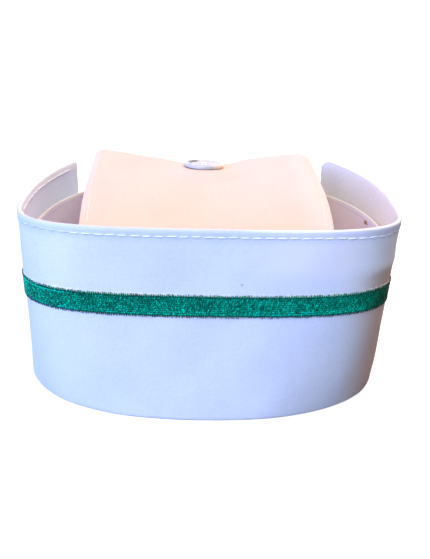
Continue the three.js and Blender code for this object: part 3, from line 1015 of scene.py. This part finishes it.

# Tints of the cuff by where they lie, most of them painted light and shade, and its speck by place, radius
# and colour
PAINTED_LIGHT_PATCH = (0.89, 0.90, 0.98)
LEFT_SHADE = (0.80, 0.84, 1.0)
RIGHT_SHADE = (0.78, 0.70, 0.63)
PAINTED_RIM_LIGHT_FRONT = (0.88, 0.80, 0.83)
PAINTED_RIM_LIGHT_REAR = (0.70, 0.59, 0.62)
LOW_RIGHT_SHADE = (0.72, 0.46, 0.28)
REAR_SHADE = (0.87, 0.90, 0.97)
HEM_SHADE = (0.93, 0.95, 1.0)
INNER_HEM = (0.98, 0.93, 0.90)
CUT_END_SHADE = (0.62, 0.55, 0.60)
DRAWN_THREAD_LEFT = (0.98, 0.98, 0.98)
DRAWN_THREAD_RIGHT = (0.98, 0.80, 0.66)
SPECK = ((0.0142, -0.0588, 0.0625), 0.0006, (0.50, 0.58, 0.90))

# Tints of the band and the crown, several of them painted light and shade, with the band's spots by place,
# radius and colour
BAND_HEM_SHADE = (0.88, 0.89, 0.94)
BAND_PAINTED_GLOW = (1.0, 0.42, 0.45)
SPOTS = [
    ((0.0779, -0.0018, 0.0781), 0.0010, (0.36, 0.18, 0.08)),
    ((0.0781, -0.0032, 0.0779), 0.0010, (0.30, 0.15, 0.07)),
    ((0.0784, -0.0050, 0.0776), 0.0006, (0.60, 0.46, 0.42)),
]
CROWN_LINING = (0.92, 0.86, 0.83)
CROWN_LOW_SHADE = (1.0, 0.97, 0.89)
CROWN_RIGHT_PAINTED_LIGHT = (0.81, 0.635, 0.53)
CROWN_REAR = (0.90, 0.85, 0.80)


def weave_height(s):
    """Height of a plain weave, over and under by turns, from the cloth's own coordinates in mm."""
    split = s.node("SeparateXYZ", Vector=s.node("UVMap", {"uv_map": "cloth"}).outputs["UV"])
    turns = [s.math("MULTIPLY", split.outputs[axis], math.pi / WEAVE_PITCH) for axis in "XY"]
    warp, weft = [s.math("SINE", turn) for turn in turns]
    over = s.math("GREATER_THAN", s.math("MULTIPLY", warp, weft), 0.0)
    raised = s.math("MULTIPLY", over, s.math("ABSOLUTE", warp))
    return s.math("MULTIPLY_ADD", s.math("SUBTRACT", 1.0, over), s.math("ABSOLUTE", weft), raised)


def cloth_material(name, outer, inner_left, inner_right, rim, change=(-80, 80)):
    """Plain weave whose tints are partly painted light colour on white cloth. The rolled rim has a tint of
    its own, painted shade that tones down the light on it. The inner tint changes from left to right.
    """
    s = Shader(name, 0.82)
    fine = s.noise(900.0, 2.0)
    broad = s.noise(45.0, 4.0)
    lining = s.tint(inner_left, inner_right, X=change)
    colour = s.blend(s.mark("inside"), outer, lining)
    # Painted shade: the rolled rim takes a tint of its own that tones down its brightness.
    colour = s.tint(colour, rim, below_rim=(RIM_START, RIM_FULL))
    slub = s.math("MULTIPLY_ADD", fine, 0.6, s.math("MULTIPLY", broad, 0.4))
    s.colour = s.blend(1.0, colour, s.ramp(slub, [(0.34, (0.92, 0.925, 0.94)), (0.62, WHITE)]), "MULTIPLY")
    rough = s.math("MULTIPLY_ADD", fine, 0.16, 0.74)
    s.set(s.shader, Base_Color=s.colour, Roughness=rough, Specular_IOR_Level=0.2)
    height = s.math("MULTIPLY_ADD", weave_height(s), 0.6, s.math("MULTIPLY", fine, 0.4))
    s.bump(height, 0.35, 0.00012)
    return s


def cuff_material():
    """Adds painted shade at both ends, at the inner left cut end, on the inner rear and along the hem,
    painted light on the front and the right rim, the drawn thread above the stripe, and a speck.
    """
    s = cloth_material(
        "cuff_weave",
        # Painted light colour: the white cloth is cool blue outside and warm beige inside on the right, as
        # the lights fall.
        outer=(0.80, 0.86, 0.98),
        inner_left=(0.97, 0.98, 0.99),
        inner_right=(1.0, 0.83, 0.63),
        rim=(0.66, 0.69, 0.78),
        change=(45, 85),
    )
    # Painted light: a paler area on the right half of the front, at mid height.
    colour = s.tint(s.colour, PAINTED_LIGHT_PATCH, face="outside", X=(8, 40, 74, 58), Z=(62, 72))
    # Painted shade: bluish at the left end, brownish at the right end and low on the right, darker on the
    # inner rear and in a band below the rim.
    colour = s.tint(colour, LEFT_SHADE, "MULTIPLY", "outside", X=(-60, -86))
    colour = s.tint(colour, RIGHT_SHADE, "MULTIPLY", "outside", X=(64, 87), Y=(24, 0), below_rim=(0.4, 1.1))
    # Painted light: the rim on the right stays pale against the painted shade there, pinker towards the
    # rear.
    painted_rim_light = s.tint(PAINTED_RIM_LIGHT_FRONT, PAINTED_RIM_LIGHT_REAR, Y=(-30, 0))
    colour = s.tint(colour, painted_rim_light, X=(30, 70), below_rim=(1.1, 0.4))
    colour = s.tint(colour, LOW_RIGHT_SHADE, "MULTIPLY", "outside", X=(56, 87), Y=(24, 0), Z=(71, 63))
    colour = s.tint(colour, REAR_SHADE, "MULTIPLY", "inside", Y=(-25, 30))
    colour = s.tint(colour, HEM_SHADE, "MULTIPLY", "outside", hem_depth=(7, 4.5))
    colour = s.tint(colour, INNER_HEM, face="inside", X=(0, -20), hem_depth=(4.2, 3.7))
    # Painted shade: a dark line on the inner face along the left cut end.
    colour = s.tint(colour, CUT_END_SHADE, face="inside", X=(0, -20), below_rim=(1, 0.7), hem_depth=(0.8, 1.6))
    drawn = s.where("outside", above_stripe=(0.9, 0.3, -1.5, -0.5))
    drawn = s.both(drawn, s.span(s.noise(330.0, 2.0), 0.35, 0.6))
    colour = s.blend(drawn, colour, s.tint(DRAWN_THREAD_LEFT, DRAWN_THREAD_RIGHT, X=(70, 80)))
    s.set(s.shader, Base_Color=s.speck(colour, *SPECK))
    return s.material


def band_material():
    """Adds painted shade along the hem's line, a painted rosy glow on the inner face in place of the warm
    light that comes through the cloth, and brown spots.
    """
    s = cloth_material(
        "band_weave",
        # Painted light colour: bluish inside on the left, warm inside on the right, and a peach rim.
        outer=(0.98, 0.95, 0.96),
        inner_left=(0.89, 0.91, 0.98),
        inner_right=(0.96, 0.87, 0.82),
        rim=(0.72, 0.61, 0.57),
    )
    # Painted shade: a darker line along the inner hem.
    line = (BAND_HEM - 0.5, BAND_HEM, BAND_HEM + 0.8, BAND_HEM + 0.2)
    colour = s.tint(s.colour, BAND_HEM_SHADE, "MULTIPLY", "inside", below_rim=line)
    for spot in SPOTS:
        colour = s.speck(colour, *spot)
    # Painted light: a faint rosy glow on the inner face below the rim.
    painted_glow = s.tint(BLACK, BAND_PAINTED_GLOW, face="inside", below_rim=(0.6, 1.2))
    s.set(s.shader, Base_Color=colour, Emission_Color=painted_glow, Emission_Strength=0.11)
    return s.material


def crown_material():
    """Adds painted shade, a little more peach, low on the front, painted light in a paler peach at the
    right edge, and is paler behind the fold.
    """
    s = cloth_material(
        "crown_weave",
        # Painted light colour: the peach of the white cloth stands mostly for warm light from above.
        outer=(0.79, 0.585, 0.465),
        inner_left=CROWN_LINING,
        inner_right=CROWN_LINING,
        rim=(0.74, 0.62, 0.59),
    )
    rear = s.where(Y=(26, 33))
    # Painted shade: a little more peach low on the front, ahead of the fold.
    low_front = s.both(s.where(Z=(100, 84)), s.span(rear, 1.0, 0.0))
    colour = s.blend(low_front, s.colour, CROWN_LOW_SHADE, "MULTIPLY")
    # Painted light: paler at the right edge.
    colour = s.tint(colour, CROWN_RIGHT_PAINTED_LIGHT, X=(38, 56))
    s.set(s.shader, Base_Color=s.blend(rear, colour, CROWN_REAR))
    return s.material


def thread_material(name, stops, shine=0.25, glint=WHITE, painted_right_shade=WHITE):
    """Thread with its own shade per stitch, and painted shade that darkens it towards the right corner."""
    s = Shader(name, 0.5, Specular_IOR_Level=shine, Specular_Tint=glint)
    strand = s.noise(2600.0, 2.0)
    mixed = s.math("MULTIPLY_ADD", strand, 0.3, s.math("SUBTRACT", s.mark("shade"), 0.15))
    # Painted shade towards the right corner.
    painted_shade = s.tint(WHITE, painted_right_shade, X=(62, 80))
    s.set(s.shader, Base_Color=s.blend(1.0, s.ramp(mixed, stops), painted_shade, "MULTIPLY"))
    s.bump(strand, 0.5, 0.0001)
    return s.material


def stripe_material():
    s = Shader("stripe_backing", 0.7, Specular_IOR_Level=0.05)
    grain = s.noise(1500.0, 3.0)
    s.set(s.shader, Base_Color=s.ramp(grain, [(0.35, (0.0, 0.045, 0.03)), (0.65, (0.0, 0.16, 0.11))]))
    s.bump(grain, 0.4, 0.0001)
    return s.material


def button_material():
    """Mother of pearl, lavender at the left, with a painted peach reflection at the right end and a painted
    shadow of the rim in the hollow.
    """
    s = Shader("pearly_button", 0.2, Coat_Weight=0.35, Coat_Roughness=0.08, Specular_IOR_Level=0.35)
    cloud = s.noise(170.0, 4.0, 0.6)
    aside = s.math("MULTIPLY_ADD", cloud, 0.004, s.math("SUBTRACT", s.axis("X"), 0.002))
    pearl = s.ramp(cloud, [(0.3, (0.44, 0.43, 0.47)), (0.7, (0.58, 0.57, 0.62))])
    # Painted reflection: warm peach towards the right end.
    colour = s.blend(s.span(aside, 0.001, 0.007), pearl, (0.84, 0.58, 0.38))
    colour = s.tint(colour, (0.62, 0.55, 0.49), hollow=(0.0, 0.5))
    # Painted shadow of the rim on the rear wall of the hollow, at the left.
    patch = s.both(s.where(hollow=(0.5, 0.9)), s.span(aside, -0.0035, -0.0062))
    s.set(s.shader, Base_Color=s.blend(patch, colour, (0.12, 0.11, 0.05)))
    s.bump(cloud, 0.08, 0.0003)
    return s.material


def wear(piece, material):
    piece.data.materials.clear()
    piece.data.materials.append(material)


# Stage, lights and camera
STAGE_RADIUS = 1600
STAGE_SWEEP = 500
STAGE_HEIGHT = 2400


def make_stage():
    """A round pale floor that turns up into a wall far behind the object."""
    flat = STAGE_RADIUS - STAGE_SWEEP
    profile = [(0, 0), (flat, 0)]
    for a in np.linspace(0, math.pi / 2, 9)[1:]:
        profile.append((flat + STAGE_SWEEP * math.sin(a), STAGE_SWEEP * (1 - math.cos(a))))
    profile.append((STAGE_RADIUS, STAGE_HEIGHT))
    floor = lathe("floor", profile, 64, Matrix.Identity(4))
    floor.visible_diffuse = False
    floor.visible_shadow = False
    s = Shader("pale_floor", 0.9, Emission_Color=WHITE, Emission_Strength=0.62)
    grain = s.noise(3.0, 2.0)
    s.set(s.shader, Base_Color=s.ramp(grain, [(0.3, (0.52, 0.52, 0.53)), (0.7, (0.55, 0.55, 0.55))]))
    wear(floor, s.material)


# Soft lights of the studio by direction and colour, and the cosines where they start and are full
GLOWS = [
    ((-0.853, -0.492, 0.174), (2.0, 2.6, 5.6)),
    ((0, -0.643, 0.766), (1.6, 2.0, 1.85)),
    ((0, 0, 1), (2.1, 1.6, 1.35)),
    ((0, 0.966, 0.259), (0.9, 0.8, 0.8)),
    ((0.641, 0.641, 0.423), (2.5, 2.1, 2.9)),
]
GLOW_START = 0.72
GLOW_FULL = 0.95
AMBIENT = (0.05, 0.02, 0.05)


def make_lights():
    world = bpy.data.worlds.new("studio")
    bpy.context.scene.world = world
    world.use_nodes = True
    s = Nodes(world.node_tree)
    light = AMBIENT
    for direction, colour in GLOWS:
        around = s.node("TexCoord").outputs["Generated"]
        toward = s.vector("DOT_PRODUCT", around, Vector(direction).normalized()).outputs["Value"]
        glow = s.vector("SCALE", colour)
        s.set(glow, Scale=s.span(toward, GLOW_START, GLOW_FULL))
        light = s.vector("ADD", light, glow.outputs["Vector"]).outputs["Vector"]
    s.set(s.tree.nodes["Background"], Color=light, Strength=1.0)
    bpy.context.scene.view_settings.view_transform = "Standard"


CAMERA_PLACE = (-6.0, -254.4, 142.8)
CAMERA_PITCH = math.radians(17)
CAMERA_YAW = 0.035
CAMERA_ROLL = -0.027
FOCAL_PIXELS = 650
FRAME_HEIGHT_PIXELS = 559
SENSOR_WIDTH = 36


def make_camera():
    data = bpy.data.cameras.new("camera")
    data.sensor_width = SENSOR_WIDTH
    data.lens = FOCAL_PIXELS * SENSOR_WIDTH / FRAME_HEIGHT_PIXELS
    data.clip_start = 0.01
    camera = bpy.data.objects.new("camera", data)
    bpy.context.scene.collection.objects.link(camera)
    turn = Matrix.Rotation(-CAMERA_YAW, 4, "Z") @ Matrix.Rotation(math.pi / 2 - CAMERA_PITCH, 4, "X")
    turn = turn @ Matrix.Rotation(-CAMERA_ROLL, 4, "Z")
    place = Vector(np.array(CAMERA_PLACE) * MM + ORIGIN)
    camera.matrix_world = Matrix.Translation(place) @ turn
    bpy.context.scene.camera = camera


make_camera()
make_lights()
make_stage()

GREEN_GLINT = {"shine": 0.1, "glint": (0.1, 1.0, 0.85)}
white_thread = thread_material(
    "white_thread",
    # The darkest, bluest stop is the painted shade of the stitches at the left end.
    [(0.0, (0.50, 0.62, 0.94)), (0.5, (0.92, 0.92, 0.94)), (1.0, (0.94, 0.96, 0.98))],
    painted_right_shade=(0.42, 0.42, 0.48),
)
# The peach stop is painted light: the upper side stitches take the crown's washed-out colour.
pale_green_thread = thread_material("pale_thread", [(0.2, (0.82, 0.64, 0.50)), (0.8, (0.74, 0.80, 0.66))])
green_thread = thread_material(
    "green_thread",
    [(0.0, (0, 0.07, 0.04)), (0.25, (0, 0.20, 0.11)), (0.55, (0, 0.45, 0.26)), (1.0, (0, 0.98, 0.68))],
    painted_right_shade=(0.08, 0.12, 0.08),
    **GREEN_GLINT,
)
edge_thread = thread_material(
    "edge_thread",
    [(0.0, (0, 0.08, 0.05)), (0.2, (0, 0.15, 0.10)), (0.8, (0.05, 0.42, 0.25)), (1.0, (0.16, 0.60, 0.38))],
    painted_right_shade=(0.3, 0.3, 0.24),
    **GREEN_GLINT,
)

cuff = make_cuff()
topstitch = make_topstitch()
head_band = make_head_band()
crown = make_crown()
side_stitches = make_side_stitches()
ribbon = make_stripe()
field = make_stripe_field()
edges = make_stripe_edges()
wear(cuff, cuff_material())
wear(topstitch, white_thread)
wear(head_band, band_material())
wear(crown, crown_material())
wear(side_stitches, pale_green_thread)
wear(ribbon, stripe_material())
wear(field, green_thread)
wear(edges, edge_thread)
wear(make_button(), button_material())
wear(make_button_thread(), white_thread)
